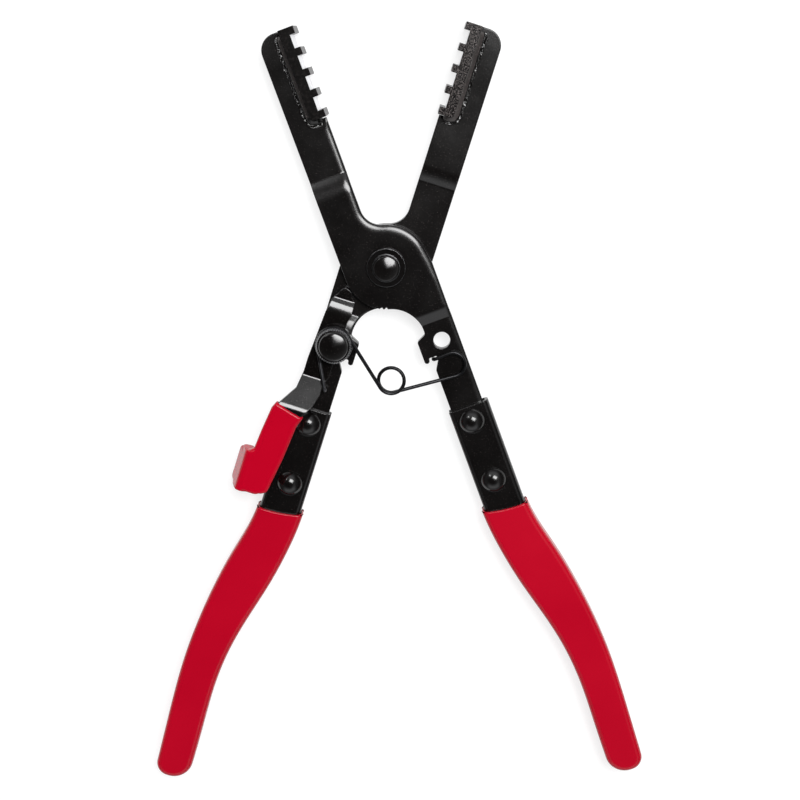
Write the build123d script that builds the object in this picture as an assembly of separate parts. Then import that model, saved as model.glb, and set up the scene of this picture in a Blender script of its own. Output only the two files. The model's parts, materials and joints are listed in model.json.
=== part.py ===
from build123d import *
import math
import os

# Hose clamp pliers: two stamped arms on one pivot rivet, each with a toothed block welded
# to its jaw and a folded sheet handle riveted to its tang and dipped in vinyl.
# A stamped ratchet lever turns on a post on the rear arm and reaches the ratchet teeth on
# the edge of the front arm's hub. One wire spring opens the handles and turns the lever.
# Sizes are millimetres and angles are degrees.
# An arm's own frame has the pivot at its origin and its jaw along +Y. The front arm turns
# from there by half_open. The rear arm is the same stamping turned over about the Y axis.
# The plane z = 0 in that frame is the middle of the jaws and tangs.

half_open = 18.83
overrun = 1.0
tiny_share = 0.000001
touch = 0.01

# Stamped arms
plate = 3.5
plate_gap = 0.1
hub_radius = 15.05
jaw_in = 1.6
jaw_tip = 89.4
tip_radius = 6.0
crotch_radius = 7.5
shoulder_step = 0.8
tang_in = 3.85
tang_end = 97.0
shoulder_drop = 4.0
jaw_fold_low = 32.6
jaw_fold_high = 36.4
tang_fold_high = 20.4
tang_fold_low = 24.4
fold_round = 0.6
arch_across = 7.4
arch_down = 26.0
finger_in = 0.95
finger_top = 29.4
finger_tip = 38.0
finger_root = 27.7
notch_in = 2.8
notch_out = 5.9
notch_top = 36.3
notch_mouth = 37.8
notch_foot = 41.3
finger_round = 0.9
finger_corner = 1.1
notch_round = 0.6
notch_corner = 1.4

# Ratchet teeth on the hub's edge, counted clockwise from below the jaw
ratchet_teeth = 3
ratchet_start = 125.4
ratchet_step = 6.4
ratchet_depth = 0.8
ratchet_slope = 2.9

# Spare hole in each tang; the rear arm's one holds the lever post
hole_radius = 3.0
hole_across = 9.5
hole_down = 31.6

# Toothed blocks
rack_tip = 0.9
tooth_depth = 1.95
rack_back = 6.5
rack_low = 56.9
tooth_count = 5
tooth_pitch = 7.47
tooth_width = 2.65
rack_depth = 18.0
pocket_foot = 0.5
pocket_radius = 1.4

# Weld beads
bead_radius = 1.7
bead_off = 1.2
bead_lift = 0.5
bead_bend = 2.2
bead_top = 1.6
bead_end = 3.5

# Pivot rivet and its washer
pivot_radius = 4.0
running_gap = 0.05
pivot_collar_radius = 5.05
pivot_collar = 0.5
pivot_dome_radius = 4.4
pivot_dome_height = 2.5
pivot_tail_radius = 6.4
pivot_tail_height = 1.9
pivot_washer_radius = 6.9
pivot_washer = 1.3
washer_gap = 0.1

# Folded sheet handles
sheet = 1.5
channel_in = 2.65
channel_top = 57.4
channel_bend = 2.2
web_gap = 0.45
handle_end = 209.2
end_outer_radius = 4.2
end_inner_radius = 6.5
swing_out = 9.45
swing_in = 12.3

# Vinyl grips
grip_top = 95.3
grip_skin = 0.85
grip_face = 1.45
grip_round = 2.2
mouth_in = 0.6
mouth_mid = 2.5
mouth_out = 2.6

# Handle rivets
rivet_across = 9.83
rivet_upper = 63.0
rivet_lower = 86.2
rivet_radius = 2.6
rivet_head_radius = 4.8
rivet_head_height = 3.0
rivet_tail_radius = 4.2
rivet_tail_height = 1.8

# Ratchet lever
lever_plate = 2.5
lever_gap = 0.1
pawl_gap = 0.35
pawl_nose_start = 49.5
pawl_nose_end = 55.5
pawl_lift = 0.15
lever_fold_high = 15.6
lever_fold_low = 19.0
lever_bend_top = 45.6
lever_bend_foot = 57.6
lever_rise = 6.0
lever_fold_round = 0.6
lever_boss = 6.5
lever_span = 17.1
pawl_reach = 20.2
thumb_reach = 58.6
tab_top = 77.9
tab_width = 12.5
tab_corner = 2.4
tab_fold = 26.4
tab_length = 9.0
tab_lean = 75.0
lever_skin = 0.9
dip_share = 0.42
lever_grip_round = 1.3

# Lever post, the sleeve inside the coil and the washer under its head
post_tail_radius = 4.6
post_tail_height = 1.8
sleeve_radius = 5.0
sleeve_height = 4.5
post_washer_radius = 6.5
post_washer = 1.1
post_dome_radius = 5.4
post_dome_height = 2.6

# Spring
wire = 1.3
coil_radius = 6.1
coil_turns = 1
coil_pitch = 1.92
coil_lift = 0.4
leg_tip_across = 7.7
leg_tip_down = 48.9
leg_rise = 0.8
leg_bend = 1.4
leg_end = 1.4
loop_x = 0.9
loop_y = 40.25
loop_radius = 4.6
loop_turns = 1
loop_height = 5.1
hook_x = 23.0
hook_y = 35.55
hook_radius = 4.3
hook_height = 2.75
hook_seat_across = 4.3
hook_seat_down = 37.15
hook_bend = 1.4
hook_leg = 2.2

# Shares of the handle's curved length, and of its swing, for its two long edges
outer_edge_shares = ((0.0, 0.0), (0.2, 0.41), (0.38, 0.80), (0.60, 1.0), (0.80, 0.93), (1.0, 0.80))
inner_edge_shares = ((0.0, 0.0), (0.14, 0.11), (0.27, 0.34), (0.39, 0.63), (0.51, 0.875), (0.66, 1.0),
                     (0.82, 0.97), (1.0, 0.94))

# Shares of lever_span outward from the post and of pawl_reach above it: the pawl's two sides
pawl_inner_shares = ((-0.064, 0.88), (-0.165, 0.79), (-0.17, 0.57), (-0.13, 0.42), (-0.13, 0.0))
pawl_outer_shares = ((0.375, 0.50), (0.33, 0.72), (0.285, 0.82), (0.235, 0.865), (0.20, 0.94), (0.13, 1.0))

# Shares of lever_span outward from the post and of thumb_reach below it: the thumb end
thumb_inner_shares = ((-0.105, 0.14), (-0.105, 0.215), (-0.035, 0.26), (-0.035, 0.325), (0.04, 0.40),
                      (0.205, 0.478), (0.285, 0.545), (0.36, 0.775), (0.47, 0.975), (0.54, 1.0))
thumb_outer_shares = ((0.90, 0.75), (0.865, 0.63), (0.80, 0.475), (0.73, 0.43), (0.49, 0.325),
                      (0.442, 0.22), (0.442, 0.128))

half_plate = plate / 2
tang_out = hub_radius + shoulder_step
tab_foot = tab_top + tab_width
hub_lift = (plate + plate_gap) / 2
hub_face = hub_lift + half_plate
channel_half = half_plate + sheet
channel_out = tang_out + web_gap + sheet
rack_length = (tooth_count - 1) * tooth_pitch + tooth_width
grip_half = channel_half + grip_face
lever_low = half_plate + lever_gap
lever_mid = lever_low + lever_plate / 2
lever_top = lever_low + lever_plate
pawl_mid = pawl_gap - plate_gap / 2 + lever_plate / 2
thumb_mid = lever_mid + lever_rise
sleeve_low = lever_top + lever_gap
sleeve_top = sleeve_low + sleeve_height


def polar(radius, angle):
    """Point at a radius and an angle counted from +X."""
    return (radius * math.cos(math.radians(angle)), radius * math.sin(math.radians(angle)))


def arc(centre, radius, start, sweep):
    """Arc about a centre from a start angle, turning left when sweep is positive."""
    return CenterArc(centre, radius, start, sweep)


def slab(face, low, high):
    """Flat solid with the outline of a face between two heights."""
    return Pos(0, 0, low) * extrude(face, amount=high - low)


def round_points(face, points, radius):
    """Face with its corners at the given points rounded."""
    corners = [vertex for vertex in face.vertices() for point in points
               if math.dist((vertex.X, vertex.Y), point) < touch]
    return fillet(corners, radius)


def ribbon(stations, thickness, reach, bend):
    """Band across the X axis whose middle follows the (y, z) stations toward -Y, folded as sheet is."""
    top = [(y, z + thickness / 2) for y, z in stations]
    bottom = [(y, z - thickness / 2) for y, z in stations]
    face = make_face(Polyline(*top, *reversed(bottom), close=True))
    inner = []
    outer = []
    for before, here, after, high, low in zip(stations, stations[1:], stations[2:], top[1:], bottom[1:]):
        turn = (here[0] - before[0]) * (after[1] - here[1]) - (here[1] - before[1]) * (after[0] - here[0])
        inner.append(low if turn > 0 else high)
        outer.append(high if turn > 0 else low)
    face = round_points(face, inner, bend)
    face = round_points(face, outer, bend + thickness)
    return extrude(Plane.YZ * face, amount=reach, both=True)


def disc(across, along, radius, low, high):
    """Cylinder along Z between two heights."""
    return Pos(across, along, (low + high) / 2) * Cylinder(radius, high - low)


def dome(across, along, radius, low, height):
    """Rounded rivet head that stands on a height; a negative height hangs below it."""
    ball = (radius ** 2 + height ** 2) / (2 * abs(height))
    centre = low + height - math.copysign(ball, height)
    cap = Pos(across, along, centre) * Sphere(ball)
    return cap & disc(across, along, radius, min(low, low + height), max(low, low + height))


def front_side(shape):
    """Place a shape from the arm's frame on the front arm."""
    return Rot(0, 0, half_open) * shape


def rear_side(shape):
    """Place a shape from the arm's frame on the rear arm, turned over with it."""
    return Rot(0, 180, 0) * front_side(shape)


def rear_facing(shape):
    """Place a shape on the rear arm without turning it over: +X there points outward."""
    return Rot(0, 0, -half_open) * mirror(shape, about=Plane.YZ)


def front_point(across, along):
    """Point of the front arm's frame, seen in the tool's frame."""
    turn = math.radians(half_open)
    x = across * math.cos(turn) - along * math.sin(turn)
    y = across * math.sin(turn) + along * math.cos(turn)
    return (x, y)


def rear_point(across, along):
    """Mirror image of front_point, on the rear arm."""
    x, y = front_point(across, along)
    return (-x, y)


def arm_outline():
    """Flat outline of the stamping, run clockwise from the crotch beside the jaw."""
    crotch_y = math.sqrt((hub_radius + crotch_radius) ** 2 - (crotch_radius - jaw_in) ** 2)
    crotch = (crotch_radius - jaw_in, crotch_y)
    crotch_angle = math.degrees(math.atan2(crotch_y, crotch[0]))
    shoulder = (tang_out, -shoulder_drop)
    shoulder_angle = math.degrees(math.atan2(-shoulder_drop, tang_out))
    shoulder_angle += math.degrees(math.acos(hub_radius / math.hypot(tang_out, shoulder_drop)))
    arch = (-arch_across, -arch_down)
    arch_angle = math.degrees(math.atan2(-arch_down, -arch_across))
    arch_radius = math.hypot(arch_across, arch_down) - hub_radius
    root_angle = -math.degrees(math.asin((finger_root - arch_down) / arch_radius))
    root = (arch[0] + polar(arch_radius, root_angle)[0], -finger_root)
    tip = (tip_radius - hub_radius, jaw_tip - tip_radius)
    edges = [arc(crotch, crotch_radius, 180, crotch_angle),
             arc((0, 0), hub_radius, crotch_angle, shoulder_angle - crotch_angle),
             Polyline(polar(hub_radius, shoulder_angle), shoulder, (tang_out, -tang_end),
                      (tang_in, -tang_end), (tang_in, -notch_foot), (notch_out, -notch_mouth),
                      (notch_out, -notch_top), (notch_in, -notch_top), (notch_in, -finger_tip),
                      (finger_in, -finger_tip), (finger_in, -finger_top), root),
             arc(arch, arch_radius, root_angle, 180 + arch_angle - root_angle),
             arc((0, 0), hub_radius, arch_angle, -180 - arch_angle),
             Line((-hub_radius, 0), (-hub_radius, tip[1])),
             arc(tip, tip_radius, 180, -90),
             Polyline((tip[0], jaw_tip), (-jaw_in, jaw_tip), (-jaw_in, crotch_y))]
    face = make_face(Curve() + edges)
    face = round_points(face, [(finger_in, -finger_tip), (notch_in, -finger_tip)], finger_round)
    face = round_points(face, [(finger_in, -finger_top), root], finger_corner)
    face = round_points(face, [(notch_in, -notch_top), (notch_out, -notch_top)], notch_round)
    return round_points(face, [(notch_out, -notch_mouth), (tang_in, -notch_foot)], notch_corner)


def ratchet_gullets():
    """Slanted notches between the teeth on the hub's edge."""
    cuts = []
    for count in range(ratchet_teeth):
        start = count * ratchet_step - ratchet_start
        foot = polar(hub_radius - ratchet_depth, start + ratchet_slope)
        outer = hub_radius + overrun
        points = [polar(outer, start - ratchet_slope), foot, polar(outer, start + ratchet_step)]
        cuts.append(make_face(Polyline(*points, close=True)))
    return cuts


def pocket():
    """Cut-out of the jaw for the toothed block, rounded at its inner corner."""
    foot = rack_low - pocket_foot
    corner = (pocket_radius - rack_back, foot + pocket_radius)
    top = jaw_tip + overrun
    edges = [Polyline((corner[0], foot), (0, foot), (0, top), (-rack_back, top), (-rack_back, corner[1])),
             arc(corner, pocket_radius, 180, 90)]
    return make_face(Curve() + edges)


def arm(bore):
    """Stamped arm with its two joggles, the hub raised toward +Z."""
    face = arm_outline() - ratchet_gullets() - pocket()
    face -= Circle(bore)
    face -= Pos(hole_across, -hole_down) * Circle(hole_radius)
    for along in (rivet_upper, rivet_lower):
        face -= Pos(rivet_across, -along) * Circle(rivet_radius)
    stations = [(jaw_tip + overrun, 0), (jaw_fold_high, 0), (jaw_fold_low, hub_lift),
                (-tang_fold_high, hub_lift), (-tang_fold_low, 0), (-tang_end - overrun, 0)]
    return slab(face, -2 * plate, 2 * plate) & ribbon(stations, plate, 2 * hub_radius, fold_round)


def rack():
    """Toothed block whose square teeth face the other jaw."""
    floor = rack_tip + tooth_depth
    top = rack_low + rack_length
    points = [(-floor, top), (-rack_back, top), (-rack_back, rack_low)]
    for count in range(tooth_count):
        foot = rack_low + count * tooth_pitch
        head = foot + tooth_width
        points += [(-rack_tip, foot), (-rack_tip, head), (-floor, head)]
        if count < tooth_count - 1:
            points.append((-floor, foot + tooth_pitch))
    face = make_face(Polyline(*points[:-1], close=True))
    back = face.vertices().group_by(Axis.X)[0].sort_by(Axis.Y)[0]
    face = fillet(back, pocket_radius)
    return slab(face, -rack_depth / 2, rack_depth / 2)


def bead(side, arm_solid, rack_solid):
    """Weld bead in the corner between the block's back and one face of the jaw."""
    height = side * (half_plate + bead_lift)
    line = -rack_back - bead_off
    foot = rack_low - bead_off
    top = rack_low + rack_length - bead_top
    bend = (line + bead_bend, foot + bead_bend)
    edges = [Line((line, top), (line, bend[1])),
             arc(bend, bead_bend, 180, 90),
             Line((bend[0], foot), (-bead_end, foot))]
    path = Pos(0, 0, height) * Wire(edges)
    section = Plane(path @ 0, z_dir=path % 0) * Circle(bead_radius)
    solid = sweep(section, path=path)
    solid += Pos(path @ 0) * Sphere(bead_radius)
    solid += Pos(path @ 1) * Sphere(bead_radius)
    return solid - arm_solid - rack_solid


def handle_face(skin, top):
    """Outline of a handle from its top down, grown by a skin on its long sides and its end."""
    length = handle_end - grip_top
    outer = [(channel_out + skin + swing_out * swing, -grip_top - length * share)
             for share, swing in outer_edge_shares]
    inner = [(channel_in - skin + swing_in * swing, -grip_top - length * share)
             for share, swing in inner_edge_shares]
    outer[-1] = (outer[-1][0], -handle_end - skin)
    inner[-1] = (inner[-1][0], -handle_end - skin)
    last = (outer[-1][0] - outer[-2][0], outer[-1][1] - outer[-2][1])
    edges = [Spline(*outer, tangents=[(0, -1), last]),
             Line(outer[-1], inner[-1]),
             Spline(*reversed(inner), tangents=[(0, 1), (0, 1)])]
    if top < grip_top:
        edges.append(Polyline(inner[0], (inner[0][0], -top), (outer[0][0], -top), outer[0]))
    else:
        edges.append(Line(inner[0], outer[0]))
    face = make_face(Curve() + edges)
    inner_end = face.vertices().group_by(Axis.Y)[0].sort_by(Axis.X)[0]
    face = fillet(inner_end, end_inner_radius + skin)
    outer_end = face.vertices().group_by(Axis.Y)[0].sort_by(Axis.X)[-1]
    return fillet(outer_end, end_outer_radius + skin)


def handle_block():
    """Outside of the folded sheet, with its bend rounded."""
    block = slab(handle_face(0, channel_top), -channel_half, channel_half)
    bend = block.edges().filter_by(lambda edge: edge.center().X > channel_out - overrun and
                                   abs(edge.center().Z) > half_plate and edge.length > channel_bend)
    return fillet(bend, channel_bend)


def channel(block):
    """Folded sheet handle, open along its inner side."""
    cavity = Pos(-sheet, 0, 0) * slab(handle_face(0, channel_top - 2 * sheet), -half_plate, half_plate)
    solid = block - cavity
    for along in (rivet_upper, rivet_lower):
        solid -= disc(rivet_across, -along, rivet_radius, -grip_half, grip_half)
    return solid


def grip(block):
    """Vinyl sleeve dipped over the handle; its mouth runs lower on the outer side."""
    sleeve = slab(handle_face(grip_skin, grip_top), -grip_half, grip_half)
    rim = [edge for face in (sleeve.faces().sort_by(Axis.Z)[0], sleeve.faces().sort_by(Axis.Z)[-1])
           for edge in face.edges() if edge.center().Y < -grip_top - overrun]
    near = (channel_in - grip_skin - overrun, -grip_top - mouth_in)
    far = (channel_out + grip_skin + overrun, -grip_top - mouth_out)
    middle = ((near[0] + far[0]) / 2, -grip_top - mouth_mid)
    above = overrun - grip_top
    line = ThreePointArc(near, middle, far)
    cut = make_face(Curve() + [line, Polyline(far, (far[0], above), (near[0], above), near)])
    return fillet(rim, grip_round) - slab(cut, -2 * grip_half, 2 * grip_half) - block


def rivet(along):
    """Handle rivet with its head toward the viewer."""
    solid = disc(rivet_across, -along, rivet_radius, -channel_half, channel_half)
    solid += dome(rivet_across, -along, rivet_head_radius, channel_half, rivet_head_height)
    solid += dome(rivet_across, -along, rivet_tail_radius, -channel_half, -rivet_tail_height)
    return solid


def lever_face():
    """Flat outline of the lever in the rear arm's mirrored frame, +X outward."""
    def place(shares, reach):
        return [(hole_across + out * lever_span, reach * share - hole_down) for out, share in shares]
    nose = hub_radius + pawl_gap
    down = [(out, -share) for out, share in thumb_inner_shares]
    up = [(out, -share) for out, share in thumb_outer_shares]
    points = [polar(nose, -pawl_nose_start), polar(nose, -pawl_nose_end)]
    points += place(pawl_inner_shares, pawl_reach)
    points += place(down, thumb_reach)
    points += [(tab_fold, -tab_foot - lever_skin), (tab_fold, -tab_top)]
    points += place(up, thumb_reach)
    points += place(pawl_outer_shares, pawl_reach)
    face = make_face(Polyline(*points, close=True))
    face += Pos(hole_across, -hole_down) * Circle(lever_boss)
    return face - Circle(nose)


def tab(skin):
    """Thumb tab folded down from the lever's outer edge, grown by a skin."""
    width = tab_foot - tab_top + 2 * skin
    reach = tab_length + skin
    thick = lever_plate / 2 + skin
    along = -(tab_top + tab_foot) / 2
    face = Rectangle(reach, width, align=(Align.MIN, Align.CENTER))
    face = fillet(face.vertices().group_by(Axis.X)[-1], tab_corner + skin)
    wing = Pos(tab_fold, along, thumb_mid) * Rot(0, tab_lean, 0) * slab(face, -thick, thick)
    roll = Pos(tab_fold, along, thumb_mid) * Rot(90, 0, 0) * Cylinder(thick, width)
    return wing + roll


def lever(face):
    """Bent ratchet lever: pawl, flat round the post, slanted step and thumb end."""
    stations = [(overrun, pawl_mid), (-lever_fold_high, pawl_mid), (-lever_fold_low, lever_mid),
                (-lever_bend_top, lever_mid), (-lever_bend_foot, thumb_mid), (-tang_end, thumb_mid)]
    band = ribbon(stations, lever_plate, 2 * tab_fold, lever_fold_round)
    solid = slab(face, -plate, 2 * thumb_mid) & band
    solid += tab(0)
    return solid - disc(hole_across, -hole_down, hole_radius + running_gap, 0, sleeve_top)


def thumb_side(shares, skin):
    """Points of one side of the thumb end, moved outward by a skin."""
    return [(hole_across + out * lever_span + skin, -hole_down - share * thumb_reach)
            for out, share in shares]


def lever_grip(solid):
    """Vinyl dipped over the lever's thumb end."""
    foot = -hole_down - thumb_reach - lever_skin
    edge = tab_fold + lever_skin
    last = thumb_side(thumb_inner_shares, 0)[-1]
    points = thumb_side([pair for pair in thumb_inner_shares[:-1] if pair[1] > dip_share], -lever_skin)
    points += [(last[0], foot), (edge, foot), (edge, lever_skin - tab_top)]
    points += thumb_side([pair for pair in thumb_outer_shares if pair[1] > dip_share], lever_skin)
    thick = lever_plate / 2 + lever_skin
    sleeve = slab(make_face(Polyline(*points, close=True)), thumb_mid - thick, thumb_mid + thick)
    sleeve = fillet(sleeve.edges().filter_by(Plane.XY), lever_grip_round)
    sleeve += tab(lever_skin)
    return sleeve - solid


def lever_post():
    """Post riveted in the rear arm: the lever turns on its shank, the coil sits round its sleeve."""
    washer_top = sleeve_top + post_washer
    solid = disc(hole_across, -hole_down, hole_radius, -half_plate, washer_top)
    solid += disc(hole_across, -hole_down, sleeve_radius, sleeve_low, sleeve_top)
    solid += dome(hole_across, -hole_down, post_dome_radius, washer_top, post_dome_height)
    solid += dome(hole_across, -hole_down, post_tail_radius, -half_plate, -post_tail_height)
    return solid


def pivot():
    """Pivot rivet: headed at the back, with a collar and a dome over its washer at the front."""
    washer_top = hub_face + washer_gap + pivot_washer
    collar_top = washer_top + pivot_collar
    solid = disc(0, 0, pivot_radius, -hub_face, washer_top)
    solid += disc(0, 0, pivot_collar_radius, washer_top, collar_top)
    solid += dome(0, 0, pivot_dome_radius, collar_top, pivot_dome_height)
    solid += dome(0, 0, pivot_tail_radius, -hub_face, -pivot_tail_height)
    return solid


def unit(vector):
    """Vector of length one in the same direction."""
    return vector / vector.length


def turn_stations(centre, radius, start, sweep, low, high):
    """Points and directions at even steps of at most a quarter turn along a helix."""
    steps = math.ceil(abs(sweep) / 90)
    rise = (high - low) / (math.radians(abs(sweep)) * radius)
    side = math.copysign(1, sweep)
    stations = []
    for count in range(steps + 1):
        share = count / steps
        angle = start + sweep * share
        x, y = polar(radius, angle)
        dx, dy = polar(side, angle + 90)
        place = Vector(centre[0] + x, centre[1] + y, low + (high - low) * share)
        stations.append((place, unit(Vector(dx, dy, rise))))
    return stations


def aim(stations, index, other):
    """Turn the direction at one end of a helix along the straight wire beyond it."""
    place = stations[index][0]
    way = unit(other - place) if index else unit(place - other)
    stations[index] = (place, way)


def biarc(first, second):
    """Two arcs, or one line, from a point and direction to the next."""
    p, a = first
    q, b = second
    gap = q - p
    if gap.cross(a).length + gap.cross(b).length < tiny_share * gap.length:
        return [Line(p, q)]
    along = gap.dot(a + b)
    spread = 2 * (1 - a.dot(b))
    if spread < tiny_share:
        reach = gap.dot(gap) / (2 * along)
    else:
        reach = (math.sqrt(along ** 2 + spread * gap.dot(gap)) - along) / spread
    middle = (p + a * reach + q - b * reach) / 2
    lean = unit((q - b * reach) - (p + a * reach))
    return [TangentArc(p, middle, tangent=a), TangentArc(middle, q, tangent=lean)]


def inner_tangent(first, first_radius, second, second_radius):
    """Angle at which a wire leaves a right-handed turn to join a left-handed one."""
    dx = second[0] - first[0]
    dy = second[1] - first[1]
    bearing = math.degrees(math.atan2(dy, dx))
    return bearing + math.degrees(math.acos((first_radius + second_radius) / math.hypot(dx, dy)))


def outer_tangent(first, first_radius, second, second_radius):
    """Angle at which a wire leaves one left-handed turn to join the next."""
    dx = second[0] - first[0]
    dy = second[1] - first[1]
    bearing = math.degrees(math.atan2(dy, dx))
    return bearing - math.degrees(math.acos((first_radius - second_radius) / math.hypot(dx, dy)))


def spring_path():
    """Stations of the wire: leg, coil round the post, free loop, hook and the end in the notch."""
    post = rear_point(hole_across, -hole_down)
    tip = rear_point(leg_tip_across, -leg_tip_down)
    loop = (loop_x, -loop_y)
    hook = (hook_x, -hook_y)
    seat = front_point(hook_seat_across, -hook_seat_down)
    tip_way = math.degrees(math.atan2(tip[1] - post[1], tip[0] - post[0]))
    entry = tip_way - math.degrees(math.acos(coil_radius / math.hypot(tip[0] - post[0], tip[1] - post[1])))
    leave = inner_tangent(post, coil_radius, loop, loop_radius)
    coil_sweep = (entry - leave) % 360 + coil_turns * 360
    coil_low = lever_top + coil_lift + wire / 2
    coil_high = coil_low + coil_pitch * coil_sweep / 360
    coil = turn_stations(post, coil_radius, entry, -coil_sweep, coil_low, coil_high)
    join = leave + 180
    part_way = outer_tangent(loop, loop_radius, hook, hook_radius)
    loop_sweep = (part_way - join) % 360 + loop_turns * 360
    loop_high = loop_height + coil_pitch * loop_sweep / 360
    ring = turn_stations(loop, loop_radius, join, loop_sweep, loop_high, loop_height)
    seat_way = math.degrees(math.atan2(seat[1] - hook[1], seat[0] - hook[0]))
    seat_far = math.hypot(seat[0] - hook[0], seat[1] - hook[1])
    release = seat_way - math.degrees(math.acos(hook_radius / seat_far))
    bend_sweep = (release - part_way) % 360
    bend = turn_stations(hook, hook_radius, part_way, bend_sweep, hook_height, hook_height)
    foot = Vector(tip[0], tip[1], coil_low + leg_rise)
    aim(coil, 0, foot)
    aim(coil, -1, ring[0][0])
    aim(ring, 0, coil[-1][0])
    aim(ring, -1, bend[0][0])
    aim(bend, 0, ring[-1][0])
    drop = Vector(seat[0], seat[1], hook_height)
    way = unit(drop - bend[-1][0])
    down = Vector(0, 0, -1)
    turn_start = drop - way * hook_bend
    turn_end = drop + down * hook_bend
    last = turn_end + down * hook_leg
    rise = unit(coil[0][0] - foot)
    leg_turn = foot + down * leg_bend
    stations = [(leg_turn + down * leg_end, -down), (leg_turn, -down), (foot + rise * leg_bend, rise)]
    stations += coil + ring + bend
    stations += [(turn_start, way), (turn_end, down), (last, down)]
    return stations


def spring():
    """One unbroken wire along the stations; prints its least gap to itself."""
    stations = spring_path()
    edges = []
    for first, second in zip(stations, stations[1:]):
        edges += biarc(first, second)
    path = Wire(edges)
    count = math.ceil(path.length / (wire / 4))
    points = [path.position_at(step / count) for step in range(count + 1)]
    step_length = path.length / count
    apart = math.ceil(math.pi * wire / step_length)
    least = min((points[i] - points[j]).length - wire
                for i in range(len(points)) for j in range(i + apart, len(points)))
    print("spring length", round(path.length, 2), "least gap to itself", round(least, 3))
    section = Plane(path @ 0, z_dir=path % 0) * Circle(wire / 2)
    return sweep(section, path=path)


block = handle_block()
lever_outline = lever_face()
right_arm = arm(pivot_radius + running_gap)
left_arm = arm(pivot_radius)
block_rack = rack()
lever_solid = lever(lever_outline)
channel_solid = channel(block)
grip_solid = grip(block)
washer = disc(0, 0, pivot_washer_radius, hub_face + washer_gap, hub_face + washer_gap + pivot_washer)
washer -= disc(0, 0, pivot_radius, 0, 2 * hub_face)
ring = disc(hole_across, -hole_down, post_washer_radius, sleeve_top, sleeve_top + post_washer)
ring -= disc(hole_across, -hole_down, hole_radius, 0, 2 * sleeve_top)

nodes = {
    "front_arm": front_side(right_arm),
    "rear_arm": rear_side(left_arm),
    "left_jaw_rack": front_side(block_rack),
    "right_jaw_rack": rear_side(block_rack),
    "left_front_weld": front_side(bead(1, right_arm, block_rack)),
    "left_back_weld": front_side(bead(-1, right_arm, block_rack)),
    "right_front_weld": rear_side(bead(-1, left_arm, block_rack)),
    "right_back_weld": rear_side(bead(1, left_arm, block_rack)),
    "pivot_rivet": pivot(),
    "pivot_washer": washer,
    "right_channel": front_side(channel_solid),
    "left_channel": rear_side(channel_solid),
    "right_upper_rivet": front_side(rivet(rivet_upper)),
    "right_lower_rivet": front_side(rivet(rivet_lower)),
    "left_upper_rivet": rear_facing(rivet(rivet_upper)),
    "left_lower_rivet": rear_facing(rivet(rivet_lower)),
    "right_grip": front_side(grip_solid),
    "left_grip": rear_side(grip_solid),
    "ratchet_lever": rear_facing(lever_solid),
    "lever_grip": rear_facing(lever_grip(lever_solid)),
    "lever_post": rear_facing(lever_post()),
    "post_washer": rear_facing(ring),
    "opening_spring": spring(),
}

boxes = [shape.bounding_box() for shape in nodes.values()]
middle_x = (min(box.min.X for box in boxes) + max(box.max.X for box in boxes)) / 2
middle_y = (min(box.min.Y for box in boxes) + max(box.max.Y for box in boxes)) / 2
shift = Pos(-middle_x, -middle_y, -min(box.min.Z for box in boxes))
os.makedirs("parts", exist_ok=True)
for name, shape in nodes.items():
    placed = shift * shape
    export_step(placed, os.path.join("parts", name + ".step"))
    bounds = placed.bounding_box()
    solids = len(placed.solids())
    print(name, solids, round(placed.volume, 1), [round(value, 2) for value in (*bounds.min, *bounds.max)])
print("pivot at", [round(value, 3) for value in shift.position])
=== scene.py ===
"""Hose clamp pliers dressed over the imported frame: finishes, rounded edges, floor, lights and camera."""

import json
import math

import bmesh
import bpy
from bpy.props import FloatProperty, FloatVectorProperty, IntProperty, PointerProperty
from mathutils import Euler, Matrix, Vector, noise


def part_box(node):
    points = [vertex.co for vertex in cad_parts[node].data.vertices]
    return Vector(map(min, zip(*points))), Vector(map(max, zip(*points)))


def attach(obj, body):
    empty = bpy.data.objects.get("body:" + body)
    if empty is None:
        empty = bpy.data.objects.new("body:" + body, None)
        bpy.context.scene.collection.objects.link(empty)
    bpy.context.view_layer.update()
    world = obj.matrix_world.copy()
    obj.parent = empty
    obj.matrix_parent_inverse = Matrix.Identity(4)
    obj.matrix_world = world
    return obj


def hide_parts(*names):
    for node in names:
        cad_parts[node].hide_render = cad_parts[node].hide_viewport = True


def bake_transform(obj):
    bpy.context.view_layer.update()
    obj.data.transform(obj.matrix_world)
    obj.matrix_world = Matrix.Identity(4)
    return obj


bl_info = {
    "name": "Hose Clamp Pliers",
    "version": (1, 0, 0),
    "blender": (4, 5, 0),
    "location": "View3D > Sidebar > Pliers",
    "description": "Finishes, rounded edges, floor, lights and camera for the hose clamp pliers",
    "category": "Object",
}

MM = 0.001
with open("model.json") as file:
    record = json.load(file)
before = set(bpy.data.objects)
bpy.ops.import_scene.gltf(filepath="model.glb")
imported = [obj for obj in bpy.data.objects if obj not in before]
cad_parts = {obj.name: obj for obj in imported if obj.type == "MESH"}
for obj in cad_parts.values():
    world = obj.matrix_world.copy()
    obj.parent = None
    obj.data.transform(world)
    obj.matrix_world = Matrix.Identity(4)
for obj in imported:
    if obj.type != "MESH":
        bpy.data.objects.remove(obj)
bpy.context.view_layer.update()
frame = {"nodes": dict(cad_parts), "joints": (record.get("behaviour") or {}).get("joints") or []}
hinges = {joint["name"]: joint for joint in frame["joints"]}
pivot = Vector(hinges["jaw_hinge"]["pos_m"])

REAR, FRONT, LEVER = "rear_half", "front_half", "lever"

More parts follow.
